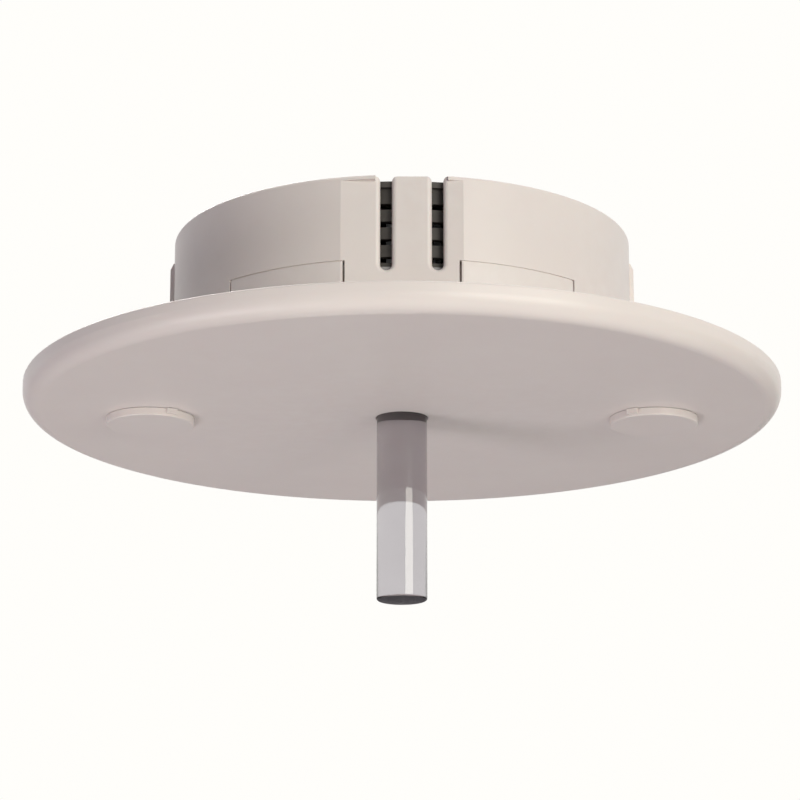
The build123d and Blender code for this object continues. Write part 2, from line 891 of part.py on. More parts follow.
def optic(angle):
    """A round domed component lying in its holder, dome inwards."""
    inner = holder_inner + optic_setback
    dome_r = optic_d / 2
    barrel = Pos(inner + dome_r, 0, 0) * Rot(0, 90, 0) * Cylinder(
        dome_r, optic_length - dome_r, align=STANDING
    )
    dome = Pos(inner + dome_r, 0, 0) * Sphere(dome_r)
    return Pos(0, 0, optic_axis_z) * Rot(0, 0, angle) * (barrel + dome)


def infrared_emitter():
    """The light source of the chamber."""
    return optic(optic_angles["emitter"])


def photodiode():
    """The light receiver of the chamber."""
    return optic(optic_angles["receiver"])


def receiver_lens():
    """The lens in front of the photodiode."""
    lens = Cylinder(optic_d / 2, lens_thick, align=STANDING)
    turned = Rot(0, 0, optic_angles["receiver"]) * Pos(holder_inner, 0, 0) * Rot(0, 90, 0) * lens
    return Pos(0, 0, optic_axis_z) * turned


def chamber_vane():
    """One bent vane, standing on the chamber floor, at angle 0."""
    legs = []
    for bend in (vane_bend, -vane_bend):
        leg = block(vane_length, vane_thick, chamber_floor + vane_gap, chamber_top)
        reach = vane_length / 2 - vane_thick / 4
        shift = reach if bend > 0 else -reach
        legs.append(Rot(0, 0, bend) * Pos(shift, 0, 0) * leg)
    return Pos(vane_circle_d / 2, 0, 0) * (legs[0] + legs[1])


def chamber_labyrinth():
    """The roof of the chamber and the ring of vanes that keeps light out."""
    roof_d = vane_circle_d + 2 * vane_length
    vane = chamber_vane()
    vanes = [Rot(0, 0, 360 / vane_count * n) * vane for n in range(vane_count)]
    roof = disc(roof_d, chamber_top - chamber_roof, chamber_top)
    return joined([roof, *vanes])


def insect_screen():
    """The thin slotted screen round the chamber, with a roof ring."""
    inner_d = screen_d - 2 * screen_wall
    roof_low = screen_top - screen_roof
    screen = ring(screen_d, inner_d, chamber_floor, roof_low)
    row = (roof_low - chamber_floor - screen_bar) / screen_slot_rows
    size = (screen_wall * 4, screen_slot_width)
    cuts = []
    for level in range(screen_slot_rows):
        low = chamber_floor + screen_bar + level * row
        for n in range(screen_slots):
            angle = 360 / screen_slots * n
            at = polar((screen_d - screen_wall) / 2, angle)
            cuts.append(block(*size, low, low + row - screen_bar, at, angle))
    screen = screen.cut(*cuts)
    return screen + ring(screen_d, vane_circle_d, roof_low, screen_top)


# ---------------------------------------------------------------- grille and top cover


def inlet_grille():
    """The dark louvred cage behind the vent slots, with the ledge for the top cover."""
    inner_d = grille_bore
    flange_low = grille_top - grille_flange
    cage = ring(grille_d, inner_d, chassis_top, flange_low)
    cage += ring(chassis_d, inner_d, flange_low, grille_top)
    for n in range(grille_gap_count):
        middle = grille_first_gap + n * grille_pitch
        low, high = middle - grille_gap / 2, middle + grille_gap / 2
        cage -= ring(grille_d + OVERCUT, inner_d - OVERCUT, low, high)
    radius = inner_d / 2 + grille_post_depth / 4
    size = (grille_post_depth * 3 / 2, grille_post_width)
    posts = []
    for n in range(grille_posts):
        angle = 360 / grille_posts * (n + 0.5)
        at = polar(radius - grille_post_depth / 4, angle)
        posts.append(block(*size, chassis_top, cover_low, at, angle))
    ledge = ring(inner_d, inner_d - 2 * cover_ledge, cover_low - cover_ledge_thick, cover_low)
    return joined([cage, ledge, *posts])


def top_cover():
    """The lid on the head, with a ring groove and a grip bar to turn it by."""
    cover = disc(cover_d, cover_low, housing_top)
    top_edge = cover.edges().filter_by(GeomType.CIRCLE).sort_by(Axis.Z)[-1]
    cover = fillet(top_edge, cover_round)
    groove_in = cover_groove_d - 2 * cover_groove_width
    floor = housing_top - cover_groove_depth
    cover -= ring(cover_groove_d, groove_in, floor, housing_top + OVERCUT)
    outline = SlotOverall(grip_length, grip_width)
    grip = Pos(0, 0, housing_top - OVERCUT) * extrude(outline, grip_height + OVERCUT)
    grip = fillet(grip.faces().sort_by(Axis.Z)[-1].edges(), grip_round)
    return cover + grip


NODES = {
    "ceiling_plate": ceiling_plate,
    "ceiling_seal": ceiling_seal,
    "base_housing": base_housing,
    "base_screws": base_screws,
    "terminal_clamps": terminal_clamps,
    "terminal_screws": terminal_screws,
    "contact_springs": contact_springs,
    "head_chassis": head_chassis,
    "circuit_board": circuit_board,
    "board_screws": board_screws,
    "contact_blades": contact_blades,
    "controller_chip": controller_chip,
    "capacitor": capacitor,
    "chip_resistors": chip_resistors,
    "light_guide": light_guide,
    "guide_collar": guide_collar,
    "return_spring": return_spring,
    "guide_cup": guide_cup,
    "guide_screws": guide_screws,
    "indicator_led": indicator_led,
    "test_switch": test_switch,
    "switch_plunger": switch_plunger,
    "chamber_base": chamber_base,
    "infrared_emitter": infrared_emitter,
    "photodiode": photodiode,
    "receiver_lens": receiver_lens,
    "chamber_labyrinth": chamber_labyrinth,
    "insect_screen": insect_screen,
    "inlet_grille": inlet_grille,
    "top_cover": top_cover,
}
PAIRED_NODES = {
    "screw_cap": screw_cap,
    "clamp_screw": clamp_screw,
    "clamp_retainer": clamp_retainer,
    "clamp_nut": clamp_nut,
    "clamp_arm": clamp_arm,
    "terminal_block": terminal_block,
}

os.makedirs("parts", exist_ok=True)
for name, make in NODES.items():
    export_step(make(), f"parts/{name}.step")
for name, make in PAIRED_NODES.items():
    export_step(make(1), f"parts/{name}_right.step")
    export_step(make(-1), f"parts/{name}_left.step")
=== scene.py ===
"""Dresses the ceiling-void smoke detector: finishes, fine pieces, light and camera."""

import logging
from dataclasses import dataclass, field
from enum import Enum
from math import cos, radians, sin, tau

import bmesh
import bpy
from mathutils import Matrix, Vector

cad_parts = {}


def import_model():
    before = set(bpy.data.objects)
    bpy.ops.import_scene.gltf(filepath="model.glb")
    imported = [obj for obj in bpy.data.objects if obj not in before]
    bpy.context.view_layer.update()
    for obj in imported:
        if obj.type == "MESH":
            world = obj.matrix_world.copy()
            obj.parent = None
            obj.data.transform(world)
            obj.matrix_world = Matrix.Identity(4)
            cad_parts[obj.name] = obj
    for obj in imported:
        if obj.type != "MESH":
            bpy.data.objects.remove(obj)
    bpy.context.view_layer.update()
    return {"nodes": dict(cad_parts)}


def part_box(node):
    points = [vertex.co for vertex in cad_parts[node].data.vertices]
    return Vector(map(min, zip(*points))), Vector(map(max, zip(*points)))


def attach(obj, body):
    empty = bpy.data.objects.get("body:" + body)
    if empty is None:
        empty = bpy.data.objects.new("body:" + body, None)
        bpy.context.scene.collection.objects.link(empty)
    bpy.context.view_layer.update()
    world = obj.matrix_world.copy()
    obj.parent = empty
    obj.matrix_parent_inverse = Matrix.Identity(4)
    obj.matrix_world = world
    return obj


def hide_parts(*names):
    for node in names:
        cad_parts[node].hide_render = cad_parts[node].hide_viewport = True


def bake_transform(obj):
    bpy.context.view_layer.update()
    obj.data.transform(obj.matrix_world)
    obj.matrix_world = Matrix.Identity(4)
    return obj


LOG = logging.getLogger("detector")
MM = 0.001
SIDES = ("left", "right")
Colour = tuple[float, float, float]
Point = tuple[float, float, float]
Span = tuple[float, float]
Outline = list[tuple[float, float]]
Socket = bpy.types.NodeSocket
Nodes = bpy.types.NodeTree

MERGE = 1e-6
CRISP_ANGLE = 50
THREAD_CRISP_ANGLE = 25
MIX_A, MIX_B, MIX_RESULT = 6, 7, 2
TONE_SPAN = (0.3, 0.7)
EDGE_SPAN = (0.52, 0.62)
GAP_SPAN = (0.35, 0.65)
UPWARD_SPAN = (0.6, 1.0)
SPECK_SCALE, SPECK_SPAN = 900.0, (0.45, 0.7)
DRIFT_SCALE, DRIFT_SPAN = 50.0, (0.3, 0.75)
CELL_SPAN = (0.0, 0.6)
TRACK_STEP, TRACK_SPAN = 0.14, (0.07, 0.09)
SCRATCH_SQUEEZE = 0.05
DRAWN_SQUEEZE = 0.012
DUST_COLOUR = (0.52, 0.50, 0.47)
DUST_ROUGHNESS = 0.25
LINE_ROUGHNESS = 0.12
TRACK_COLOUR = (0.035, 0.19, 0.085)
SUBSURFACE_DEPTH = 0.0008
CLEAR_PALER = 1.06
CLEAR_TONE_SCALE = 90.0
CLEAR_MARK_SCALE = 260.0
CLEAR_MARKS = 0.05
CLEAR_RELIEF = 0.5
CLEAR_DEPTH = 0.00006
ACRYLIC_IOR = 1.49
ROD_ROUGHNESS = 0.02
LENS_ROUGHNESS = 0.03
LENS_TINT = (0.93, 0.93, 0.95)


# ------------------------------------------------------------------ shader groups


def new_group(name: str, inputs: dict[str, float], outputs: dict[str, str]) -> Nodes:
    """Makes an empty shader group with its sockets.

    Args:
        name: The group's name.
        inputs: Name and default of each number that the group takes.
        outputs: Name and socket type of each result.

    Returns:
        The node tree, with an input and an output node in it.
    """
    tree = bpy.data.node_groups.new(name, "ShaderNodeTree")
    for label, default in inputs.items():
        socket = tree.interface.new_socket(label, in_out="INPUT", socket_type="NodeSocketFloat")
        socket.default_value = default
    for label, kind in outputs.items():
        tree.interface.new_socket(label, in_out="OUTPUT", socket_type=kind)
    tree.nodes.new("NodeGroupInput")
    tree.nodes.new("NodeGroupOutput")
    return tree


def ends(tree: Nodes) -> tuple[bpy.types.Node, bpy.types.Node]:
    """Finds a group's two end nodes.

    Args:
        tree: The group.

    Returns:
        Its input node and its output node.
    """
    return tree.nodes["Group Input"], tree.nodes["Group Output"]


def noise(tree: Nodes, scale: Socket | float, detail: float, where: Socket) -> Socket:
    """Adds a noise texture.

    Args:
        tree: The node tree it goes in.
        scale: Its scale, as a number or a socket.
        detail: How many octaves it has.
        where: The coordinate socket.

    Returns:
        The noise's factor socket.
    """
    node = tree.nodes.new("ShaderNodeTexNoise")
    node.inputs["Detail"].default_value = detail
    tree.links.new(where, node.inputs["Vector"])
    feed(tree, scale, node.inputs["Scale"])
    return node.outputs["Fac"]


def feed(tree: Nodes, value: Socket | float, socket: Socket) -> None:
    """Sets a socket from a number or links it from another socket.

    Args:
        tree: The node tree.
        value: The number, or the socket that it comes from.
        socket: The socket to feed.
    """
    if isinstance(value, (int, float)):
        socket.default_value = value
    else:
        tree.links.new(value, socket)


def maths(tree: Nodes, kind: str, a: Socket | float, b: Socket | float = 0.0) -> Socket:
    """Adds a maths node.

    Args:
        tree: The node tree it goes in.
        kind: The operation.
        a: The first value.
        b: The second value.

    Returns:
        The result's socket.
    """
    node = tree.nodes.new("ShaderNodeMath")
    node.operation = kind
    feed(tree, a, node.inputs[0])
    feed(tree, b, node.inputs[1])
    return node.outputs[0]


def spread(tree: Nodes, value: Socket, span: Span) -> Socket:
    """Stretches a value so that a span of it fills 0 to 1, clamped.

    Args:
        tree: The node tree it goes in.
        value: The value's socket.
        span: What becomes 0 and what becomes 1.

    Returns:
        The result's socket.
    """
    node = tree.nodes.new("ShaderNodeMapRange")
    low, high = span
    node.inputs["From Min"].default_value = low
    node.inputs["From Max"].default_value = high
    feed(tree, value, node.inputs["Value"])
    return node.outputs["Result"]


def object_coords(tree: Nodes) -> Socket:
    """Adds a texture coordinate node.

    Args:
        tree: The node tree it goes in.

    Returns:
        Its Object socket.
    """
    return tree.nodes.new("ShaderNodeTexCoord").outputs["Object"]


def lengthwise(tree: Nodes, squeeze: float) -> Socket:
    """Gives object coordinates that draw a pattern out along Z.

    Args:
        tree: The node tree it goes in.
        squeeze: The scale along Z, below 1 for long lines.

    Returns:
        The coordinate socket.
    """
    node = tree.nodes.new("ShaderNodeMapping")
    node.inputs["Scale"].default_value = (1.0, 1.0, squeeze)
    tree.links.new(object_coords(tree), node.inputs["Vector"])
    return node.outputs["Vector"]


class Effects:
    """The shader groups that the finishes share, each built once."""

    def __init__(self) -> None:
        """Builds every group."""
        self.mottle = self.build_mottle()
        self.grain = self.build_grain()
        self.wear = self.build_wear()
        self.dust = self.build_dust()
        self.scratches = self.build_scratches()
        self.cells = self.build_cells()
        self.tracks = self.build_tracks()
        self.drawn = self.build_drawn()

    def build_mottle(self) -> Nodes:
        """Builds slow variation of tone over a moulding.

        Returns:
            A group that puts out a value from 0 to 1.
        """
        tree = new_group("mottle", {"Scale": 40.0}, {"Tone": "NodeSocketFloat"})
        start, end = ends(tree)
        slow = noise(tree, start.outputs["Scale"], detail=3.0, where=object_coords(tree))
        tree.links.new(spread(tree, slow, TONE_SPAN), end.inputs["Tone"])
        return tree

    def build_grain(self) -> Nodes:
        """Builds the fine height of a spark-eroded mould, with faint waviness.

        Returns:
            A group that puts out a height.
        """
        inputs = {"Grain Scale": 2600.0, "Wave Scale": 60.0, "Wave Share": 0.4}
        tree = new_group("grain", inputs, {"Height": "NodeSocketFloat"})
        start, end = ends(tree)
        where = object_coords(tree)
        fine = noise(tree, start.outputs["Grain Scale"], detail=2.0, where=where)
        wave = noise(tree, start.outputs["Wave Scale"], detail=1.0, where=where)
        share = maths(tree, "MULTIPLY", wave, start.outputs["Wave Share"])
        tree.links.new(maths(tree, "ADD", fine, share), end.inputs["Height"])
        return tree

    def build_wear(self) -> Nodes:
        """Builds a broken mask along convex edges.

        Returns:
            A group that puts out a mask.
        """
        inputs = {"Amount": 0.5, "Break Scale": 300.0}
        tree = new_group("edge wear", inputs, {"Mask": "NodeSocketFloat"})
        start, end = ends(tree)
        point = tree.nodes.new("ShaderNodeNewGeometry").outputs["Pointiness"]
        edge = spread(tree, point, EDGE_SPAN)
        gaps = noise(tree, start.outputs["Break Scale"], detail=4.0, where=object_coords(tree))
        broken = maths(tree, "MULTIPLY", edge, spread(tree, gaps, GAP_SPAN))
        mask = maths(tree, "MULTIPLY", broken, start.outputs["Amount"])
        tree.links.new(mask, end.inputs["Mask"])
        return tree

    def build_dust(self) -> Nodes:
        """Builds the dust that settles on upward faces.

        Returns:
            A group that puts out a mask.
        """
        tree = new_group("dust", {"Amount": 0.3}, {"Mask": "NodeSocketFloat"})
        start, end = ends(tree)
        parts = tree.nodes.new("ShaderNodeSeparateXYZ")
        tree.links.new(tree.nodes.new("ShaderNodeNewGeometry").outputs["Normal"], parts.inputs[0])
        upward = spread(tree, parts.outputs["Z"], UPWARD_SPAN)
        where = object_coords(tree)
        specks = spread(tree, noise(tree, SPECK_SCALE, detail=3.0, where=where), SPECK_SPAN)
        drifts = spread(tree, noise(tree, DRIFT_SCALE, detail=4.0, where=where), DRIFT_SPAN)
        settled = maths(tree, "MULTIPLY", maths(tree, "ADD", specks, drifts), upward)
        mask = maths(tree, "MULTIPLY", settled, start.outputs["Amount"])
        tree.links.new(mask, end.inputs["Mask"])
        return tree

    def build_scratches(self) -> Nodes:
        """Builds fine lines drawn out along one axis, for drawn or turned metal.

        Returns:
            A group that puts out a value from 0 to 1.
        """
        tree = new_group("drawn lines", {"Scale": 700.0}, {"Lines": "NodeSocketFloat"})
        start, end = ends(tree)
        where = lengthwise(tree, SCRATCH_SQUEEZE)
        lines = noise(tree, start.outputs["Scale"], detail=2.0, where=where)
        tree.links.new(spread(tree, lines, TONE_SPAN), end.inputs["Lines"])
        return tree

    def build_cells(self) -> Nodes:
        """Builds the cut cells of a foam.

        Returns:
            A group that puts out a height.
        """
        tree = new_group("foam cells", {"Scale": 1600.0}, {"Height": "NodeSocketFloat"})
        start, end = ends(tree)
        cell = tree.nodes.new("ShaderNodeTexVoronoi")
        tree.links.new(object_coords(tree), cell.inputs["Vector"])
        tree.links.new(start.outputs["Scale"], cell.inputs["Scale"])
        tree.links.new(spread(tree, cell.outputs["Distance"], CELL_SPAN), end.inputs["Height"])
        return tree

    def build_tracks(self) -> Nodes:
        """Builds the copper tracks that show through solder resist.

        Returns:
            A group that puts out a mask.
        """
        tree = new_group("copper tracks", {"Scale": 240.0}, {"Mask": "NodeSocketFloat"})
        start, end = ends(tree)
        cell = tree.nodes.new("ShaderNodeTexVoronoi")
        cell.distance = "CHEBYCHEV"
        tree.links.new(object_coords(tree), cell.inputs["Vector"])
        tree.links.new(start.outputs["Scale"], cell.inputs["Scale"])
        rings = maths(tree, "PINGPONG", cell.outputs["Distance"], TRACK_STEP)
        tree.links.new(spread(tree, rings, TRACK_SPAN), end.inputs["Mask"])
        return tree

    def build_drawn(self) -> Nodes:
        """Builds the lines that drawing leaves along an upright rod.

        Returns:
            A group that puts out a height.
        """
        tree = new_group("drawing lines", {"Scale": 700.0}, {"Height": "NodeSocketFloat"})
        start, end = ends(tree)
        where = lengthwise(tree, DRAWN_SQUEEZE)
        lines = noise(tree, start.outputs["Scale"], detail=3.0, where=where)
        tree.links.new(lines, end.inputs["Height"])
        return tree


# ------------------------------------------------------------------ finishes


class Family(Enum):
    """What a finish is made of."""

    MOULDED = "moulded"
    METAL = "metal"
    FOAM = "foam"
    LAMINATE = "laminate"


@dataclass(frozen=True)
class Finish:
    """One material's own values."""

    name: str
    family: Family
    colour: Colour
    second: Colour
    roughness: float
    rough_swing: float = 0.06
    mottle_scale: float = 40.0
    grain_scale: float = 2600.0
    bump: float = 0.08
    bump_depth: float = 0.00004
    wear: float = 0.3
    worn: Colour = (0.86, 0.84, 0.82)
    dust: float = 0.25
    coat: float = 0.0
    subsurface: float = 0.0


IVORY = Finish(
    "ivory moulding", Family.MOULDED, (0.800, 0.745, 0.715), (0.765, 0.705, 0.680), 0.38,
    rough_swing=0.08, mottle_scale=28.0, bump=0.10, subsurface=0.05,
)
LID = Finish(
    "lid moulding", Family.MOULDED, (0.815, 0.775, 0.745), (0.780, 0.735, 0.705), 0.42, bump=0.10
)
CHARCOAL = Finish(
    "charcoal moulding", Family.MOULDED, (0.032, 0.027, 0.023), (0.044, 0.038, 0.033), 0.58,
    worn=(0.12, 0.11, 0.10), bump=0.14, dust=0.18,
)
GREY = Finish(
    "grey moulding", Family.MOULDED, (0.285, 0.275, 0.280), (0.245, 0.238, 0.243), 0.50,
    worn=(0.42, 0.41, 0.41), bump=0.12,
)
BLOCK = Finish(
    "terminal moulding", Family.MOULDED, (0.66, 0.655, 0.64), (0.61, 0.605, 0.59), 0.45
)
CHIP = Finish(
    "chip moulding", Family.MOULDED, (0.030, 0.030, 0.033), (0.042, 0.042, 0.045), 0.62,
    worn=(0.12, 0.12, 0.12), grain_scale=5200.0,
)
EPOXY_RED = Finish(
    "red epoxy", Family.MOULDED, (0.46, 0.020, 0.018), (0.38, 0.014, 0.014), 0.12,
    worn=(0.6, 0.1, 0.1), bump=0.02, coat=0.5,
)
EPOXY_DARK = Finish(
    "dark epoxy", Family.MOULDED, (0.050, 0.022, 0.070), (0.036, 0.016, 0.052), 0.12,
    worn=(0.12, 0.08, 0.14), bump=0.02, coat=0.5,
)
ZINC = Finish(
    "zinc plate", Family.METAL, (0.60, 0.61, 0.64), (0.51, 0.52, 0.54), 0.32,
    worn=(0.74, 0.74, 0.75), mottle_scale=120.0, bump=0.06,
)
SPRING = Finish(
    "spring steel", Family.METAL, (0.47, 0.48, 0.50), (0.38, 0.38, 0.40), 0.30,
    worn=(0.66, 0.66, 0.67), mottle_scale=200.0, bump=0.05,
)
SCREEN = Finish(
    "etched sheet", Family.METAL, (0.50, 0.50, 0.52), (0.42, 0.42, 0.44), 0.40, mottle_scale=90.0
)
BRASS = Finish(
    "turned brass", Family.METAL, (0.72, 0.52, 0.22), (0.58, 0.40, 0.16), 0.28,
    worn=(0.86, 0.70, 0.40), mottle_scale=150.0, bump=0.05,
)
CAN = Finish(
    "drawn can", Family.METAL, (0.70, 0.70, 0.72), (0.62, 0.62, 0.64), 0.34, mottle_scale=160.0
)
FOAM = Finish(
    "sealing foam", Family.FOAM, (0.090, 0.090, 0.096), (0.060, 0.060, 0.064), 0.92,
    rough_swing=0.04, mottle_scale=180.0, grain_scale=1400.0, bump=0.6, bump_depth=0.0003,
    wear=0.0, dust=0.15,
)
LAMINATE = Finish(
    "solder resist", Family.LAMINATE, (0.020, 0.125, 0.055), (0.014, 0.092, 0.040), 0.30,
    worn=(0.30, 0.34, 0.18), mottle_scale=70.0, bump=0.05, coat=0.2,
)


def new_material(name: str) -> tuple[bpy.types.Material, Nodes, bpy.types.Node]:
    """Starts a material with nodes.

    Args:
        name: The material's name.

    Returns:
        The material, its node tree and its main shader node.
    """
    material = bpy.data.materials.new(name)
    material.use_nodes = True
    tree = material.node_tree
    return material, tree, tree.nodes["Principled BSDF"]


class Paint:
    """Turns finishes into materials, one each."""

    def __init__(self, effects: Effects) -> None:
        """Keeps the shared groups.

        Args:
            effects: The shader groups that every material may place.
        """
        self.effects = effects
        self.made: dict[str, bpy.types.Material] = {}

    def place(self, tree: Nodes, group: Nodes, **values: float) -> bpy.types.Node:
        """Places a shared group in a material.

        Args:
            tree: The material's tree.
            group: The shared group.
            **values: Its inputs, with _ for a space.

        Returns:
            The group's node.
        """
        node = tree.nodes.new("ShaderNodeGroup")
        node.node_tree = group
        for label, value in values.items():
            node.inputs[label.replace("_", " ")].default_value = value
        return node

    def blend(self, tree: Nodes, factor: Socket, a: Socket | Colour, b: Colour) -> Socket:
        """Mixes two colours.

        Args:
            tree: The material's tree.
            factor: How much of b shows.
            a: The first colour, or the socket it comes from.
            b: The second colour.

        Returns:
            The mixed colour's socket.
        """
        node = tree.nodes.new("ShaderNodeMix")
        node.data_type = "RGBA"
        tree.links.new(factor, node.inputs["Factor"])
        if isinstance(a, tuple):
            node.inputs[MIX_A].default_value = (*a, 1.0)
        else:
            tree.links.new(a, node.inputs[MIX_A])
        node.inputs[MIX_B].default_value = (*b, 1.0)
        return node.outputs[MIX_RESULT]

    def material(self, finish: Finish) -> bpy.types.Material:
        """Gives the material of a finish, and makes it the first time.

        Args:
            finish: Its values.

        Returns:
            The material.
        """
        if finish.name not in self.made:
            self.made[finish.name] = self.build(finish)
        return self.made[finish.name]

    def build(self, finish: Finish) -> bpy.types.Material:
        """Builds an opaque material.

        Args:
            finish: Its values.

        Returns:
            The material.
        """
        material, tree, shader = new_material(finish.name)
        tone = self.place(tree, self.effects.mottle, Scale=finish.mottle_scale).outputs["Tone"]
        colour = self.blend(tree, tone, finish.colour, finish.second)
        if finish.family is Family.LAMINATE:
            tracks = self.place(tree, self.effects.tracks).outputs["Mask"]
            colour = self.blend(tree, tracks, colour, TRACK_COLOUR)
        wear = self.place(tree, self.effects.wear, Amount=finish.wear).outputs["Mask"]
        colour = self.blend(tree, wear, colour, finish.worn)
        dust = self.place(tree, self.effects.dust, Amount=finish.dust).outputs["Mask"]
        colour = self.blend(tree, dust, colour, DUST_COLOUR)
        tree.links.new(colour, shader.inputs["Base Color"])
        tree.links.new(self.roughness(tree, finish, tone, dust), shader.inputs["Roughness"])
        self.relief(tree, self.height(tree, finish), finish.bump, finish.bump_depth)
        if finish.family is Family.METAL:
            shader.inputs["Metallic"].default_value = 1.0
        shader.inputs["Coat Weight"].default_value = finish.coat
        shader.inputs["Subsurface Weight"].default_value = finish.subsurface
        shader.inputs["Subsurface Scale"].default_value = SUBSURFACE_DEPTH
        return material

    def roughness(self, tree: Nodes, finish: Finish, tone: Socket, dust: Socket) -> Socket:
        """Works out a finish's roughness.

        Args:
            tree: The material's tree.
            finish: Its values.
            tone: The slow variation over the surface.
            dust: Where dust lies.

        Returns:
            The roughness socket.
        """
        swing = maths(tree, "MULTIPLY", tone, finish.rough_swing)
        rough = maths(tree, "ADD", swing, finish.roughness - finish.rough_swing / 2)
        if finish.family is Family.METAL:
            lines = self.place(tree, self.effects.scratches).outputs["Lines"]
            rough = maths(tree, "ADD", rough, maths(tree, "MULTIPLY", lines, LINE_ROUGHNESS))
        return maths(tree, "ADD", rough, maths(tree, "MULTIPLY", dust, DUST_ROUGHNESS))

    def height(self, tree: Nodes, finish: Finish) -> Socket:
        """Gives the fine height of a finish: foam cells, or the grain of its mould.

        Args:
            tree: The material's tree.
            finish: Its values.

        Returns:
            The height's socket.
        """
        if finish.family is Family.FOAM:
            return self.place(tree, self.effects.cells, Scale=finish.grain_scale).outputs["Height"]
        grain = self.place(tree, self.effects.grain, Grain_Scale=finish.grain_scale)
        return grain.outputs["Height"]

    def relief(self, tree: Nodes, height: Socket, strength: float, depth: float) -> None:
        """Feeds a height to the shader as a bump.

        Args:
            tree: The material's tree.
            height: The height.
            strength: How strongly the bump shows.
            depth: How deep it is, in metres.
        """
        bump = tree.nodes.new("ShaderNodeBump")
        bump.inputs["Strength"].default_value = strength
        bump.inputs["Distance"].default_value = depth
        tree.links.new(height, bump.inputs["Height"])
        tree.links.new(bump.outputs["Normal"], tree.nodes["Principled BSDF"].inputs["Normal"])

    def clear(self, name: str, tint_and_painted_shade: Colour, roughness: float) -> bpy.types.Material:
        """Builds clear acrylic with faint lengthwise drawing lines and handling marks.

        Args:
            name: The material's name.
            tint_and_painted_shade: The colour of light through it; on the rod, a grey that is
                painted shade for the dark surroundings seen through the clear acrylic.
            roughness: How polished it is.

        Returns:
            The material.
        """
        material, tree, shader = new_material(name)
        tone = self.place(tree, self.effects.mottle, Scale=CLEAR_TONE_SCALE).outputs["Tone"]
        paler = tuple(min(1.0, part * CLEAR_PALER) for part in tint_and_painted_shade)
        tree.links.new(self.blend(tree, tone, tint_and_painted_shade, paler), shader.inputs["Base Color"])
        marks = self.place(tree, self.effects.scratches, Scale=CLEAR_MARK_SCALE).outputs["Lines"]
        rough = maths(tree, "ADD", maths(tree, "MULTIPLY", marks, CLEAR_MARKS), roughness)
        tree.links.new(rough, shader.inputs["Roughness"])
        drawn = self.place(tree, self.effects.drawn).outputs["Height"]
        self.relief(tree, drawn, CLEAR_RELIEF, CLEAR_DEPTH)
        shader.inputs["Transmission Weight"].default_value = 1.0
        shader.inputs["IOR"].default_value = ACRYLIC_IOR
        return material


# ------------------------------------------------------------------ mesh helpers


def piece(name: str, mesh: bmesh.types.BMesh, body: str | None) -> bpy.types.Object:
    """Makes an object of a finished bmesh.

    Args:
        name: The piece's name.
        mesh: Its shape, in metres in the detector's own frame.
        body: The body that it rides on, or None to leave it unattached.

    Returns:
        The object.
    """
    bmesh.ops.remove_doubles(mesh, verts=mesh.verts, dist=MERGE)
    bmesh.ops.recalc_face_normals(mesh, faces=mesh.faces)
    data = bpy.data.meshes.new(name)
    mesh.to_mesh(data)
    mesh.free()
    made = bpy.data.objects.new(name, data)
    bpy.context.scene.collection.objects.link(made)
    for polygon in data.polygons:
        polygon.use_smooth = True
    if body:
        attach(made, body)
    LOG.info("%s: %d faces, on %s", name, len(data.polygons), body or "two bodies")
    return made


def turned(profile: Outline, steps: int, centre: Vector) -> bmesh.types.BMesh:
    """Spins an outline of radius and height, in millimetres, into a closed solid.

    Args:
        profile: The outline, from one end of the axis to the other or as a loop.
        steps: How many steps a full turn has.
        centre: Where the axis stands, in metres.

    Returns:
        The turned shape.
    """
    mesh = bmesh.new()
    points = [mesh.verts.new(centre + Vector((r * MM, 0.0, z * MM))) for r, z in profile]
    edges = [mesh.edges.new(pair) for pair in zip(points, points[1:])]
    bmesh.ops.spin(
        mesh, geom=points + edges, cent=centre, axis=(0, 0, 1), angle=tau, steps=steps,
        use_merge=True,
    )
    return mesh


def rounded(
    corner: tuple[float, float], radius: float, start: float, stop: float, steps: int
) -> Outline:
    """Gives the points of an arc in an outline.

    Args:
        corner: The arc's centre, as radius and height.
        radius: Its radius.
        start: The angle it starts at, in degrees.
        stop: The angle it ends at.
        steps: How many steps it has.

    Returns:
        The points, as radius and height.
    """
    angles = [radians(start + (stop - start) * n / steps) for n in range(steps + 1)]
    return [(corner[0] + radius * cos(a), corner[1] + radius * sin(a)) for a in angles]


def sharp_edges(made: bpy.types.Object, degrees: float) -> None:
    """Shades a piece smooth, with its sharper edges left crisp.

    Args:
        made: The piece.
        degrees: The angle past which an edge is crisp.
    """
    made.data.set_sharp_from_angle(angle=radians(degrees))


# ------------------------------------------------------------------ sub-assemblies


@dataclass
class Guide:
    """The clear rod that hangs through the plate."""

    radius: float = 6.0
    edge: float = 0.45
    edge_steps: int = 6
    steps: int = 96
    # Painted shade: this grey stands in for the dark surroundings seen through the rod, whose
    # acrylic is clear.
    tint_and_painted_shade: Colour = (0.52, 0.50, 0.525)

    def build(self) -> bpy.types.Object:
        """Turns the rod between the ends that the frame gives it.

        Returns:
            The rod, which stands for the CAD one.
        """
        low, high = (corner.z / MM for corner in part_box("light_guide"))
        flat = self.radius - self.edge
        foot = rounded((flat, low + self.edge), self.edge, -90, 0, self.edge_steps)
        head = rounded((flat, high - self.edge), self.edge, 0, 90, self.edge_steps)
        shape = turned([(0.0, low), *foot, *head, (0.0, high)], self.steps, Vector())
        rod = piece("light_guide_rod", shape, "guide")
        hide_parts("light_guide")
        sharp_edges(rod, CRISP_ANGLE)
        return rod

    def dress(self, rod: bpy.types.Object, paint: Paint) -> None:
        """Gives the rod its clear acrylic, greyed with painted shade that stands in for the dark
        surroundings seen through it.

        Args:
            rod: The rod.
            paint: What makes the materials.
        """
        rod.data.materials.append(paint.clear("light guide acrylic", self.tint_and_painted_shade, ROD_ROUGHNESS))


